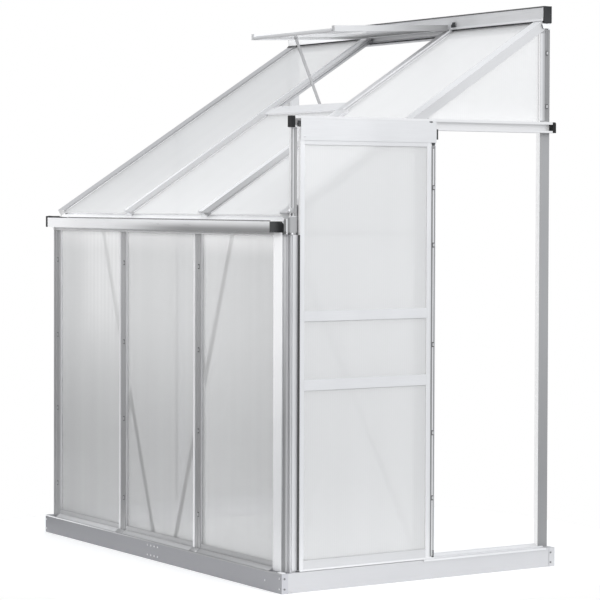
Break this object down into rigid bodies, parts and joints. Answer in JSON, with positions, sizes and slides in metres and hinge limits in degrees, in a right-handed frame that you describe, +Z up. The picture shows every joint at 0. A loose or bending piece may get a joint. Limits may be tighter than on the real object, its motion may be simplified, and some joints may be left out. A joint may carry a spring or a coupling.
{
  "type": "lean-to greenhouse",
  "caption": "Lean-to greenhouse: aluminium frame on a steel base, twin-wall plastic sheets, sliding gable door, hinged roof vent on a stay, gutter and an open back for a house wall.",
  "frame": {"origin": "centre of the bounding box on the ground under the base", "axes": "+X along the house wall towards the door end, +Y towards the house wall, +Z up"},
  "size_m": [1.9322, 1.319, 2.2383],
  "materials": {
    "aluminium": "mill finish, satin",
    "galvanised": "galvanised, dull",
    "sheet": "twin-wall sheet, milky and see-through, with fine upright flutes",
    "cap": "moulded, matt black"
  },
  "bodies": {
    "frame": {"base_front_rail_left": "galvanised", "base_front_rail_right": "galvanised", "base_gable_rail_left": "galvanised", "base_gable_rail_right": "galvanised", "front_sill": "aluminium", "gable_sill_left": "aluminium", "gable_sill_right": "aluminium", "door_threshold": "aluminium", "corner_post_left": "aluminium", "corner_post_right": "aluminium", "front_bar_left": "aluminium", "front_bar_right": "aluminium", "mid_post_left": "aluminium", "mid_post_right": "aluminium", "wall_post_left": "aluminium", "wall_post_right": "aluminium", "wall_plate": "aluminium", "door_head_rail": "aluminium", "gable_cross_rail": "aluminium", "eave_gutter": "aluminium", "gutter_cap_right": "cap", "gable_rafter_left": "aluminium", "gable_rafter_right": "aluminium", "roof_bar_left": "aluminium", "roof_bar_right": "aluminium", "vent_sill": "aluminium", "front_sheet_left": "sheet", "front_sheet_middle": "sheet", "front_sheet_right": "sheet", "roof_sheet_left": "sheet", "roof_sheet_middle": "sheet", "roof_sheet_right": "sheet", "gable_sheet_left_front": "sheet", "gable_sheet_left_rear": "sheet", "gable_sheet_right": "sheet", "gable_sheet_over_door": "sheet", "front_brace_left": "aluminium", "front_brace_right": "aluminium", "gable_brace": "aluminium", "door_track": "aluminium", "track_cap_front": "cap", "track_cap_rear": "cap", "track_upright": "aluminium"},
    "door": {"door_stile_front": "aluminium", "door_stile_rear": "aluminium", "door_bottom_rail": "aluminium", "door_rail_lower": "aluminium", "door_rail_upper": "aluminium", "door_header": "aluminium", "door_sheet_lower": "sheet", "door_sheet_middle": "sheet", "door_sheet_upper": "sheet"},
    "roller_front": {"door_roller_front": "cap"},
    "roller_rear": {"door_roller_rear": "cap"},
    "vent": {"vent_hinge_rail": "aluminium", "vent_side_bar_left": "aluminium", "vent_side_bar_right": "aluminium", "vent_free_bar": "aluminium", "vent_sheet": "sheet"},
    "stay": {"vent_stay": "aluminium"}
  },
  "joints": [
    {"name": "door_slide", "type": "slide", "parent": "frame", "child": "door", "axis": [0, 1, 0], "range_m": [0, 0.584]},
    {"name": "roller_front_turn", "type": "hinge", "parent": "door", "child": "roller_front", "pos_m": [0.94235, -0.5505, 1.74596], "axis": [1, 0, 0], "continuous": true},
    {"name": "roller_rear_turn", "type": "hinge", "parent": "door", "child": "roller_rear", "pos_m": [0.94235, 0.0365, 1.74596], "axis": [1, 0, 0], "continuous": true},
    {"name": "vent_hinge", "type": "hinge", "parent": "frame", "child": "vent", "pos_m": [-0.00115, 0.5975, 2.18798], "axis": [-1, 0, 0], "range_deg": [-29.75, 0]},
    {"name": "stay_pivot", "type": "hinge", "parent": "vent", "child": "stay", "pos_m": [-0.00115, 0.03892, 2.14399], "axis": [-1, 0, 0], "range_deg": [-15, 0]}
  ],
  "couplings": [
    {"joint": "roller_front_turn", "follows": "door_slide", "rad_per_m": -105.26},
    {"joint": "roller_rear_turn", "follows": "door_slide", "rad_per_m": -105.26},
    {"joint": "stay_pivot", "follows": "vent_hinge", "ratio": 0.5}
  ]
}
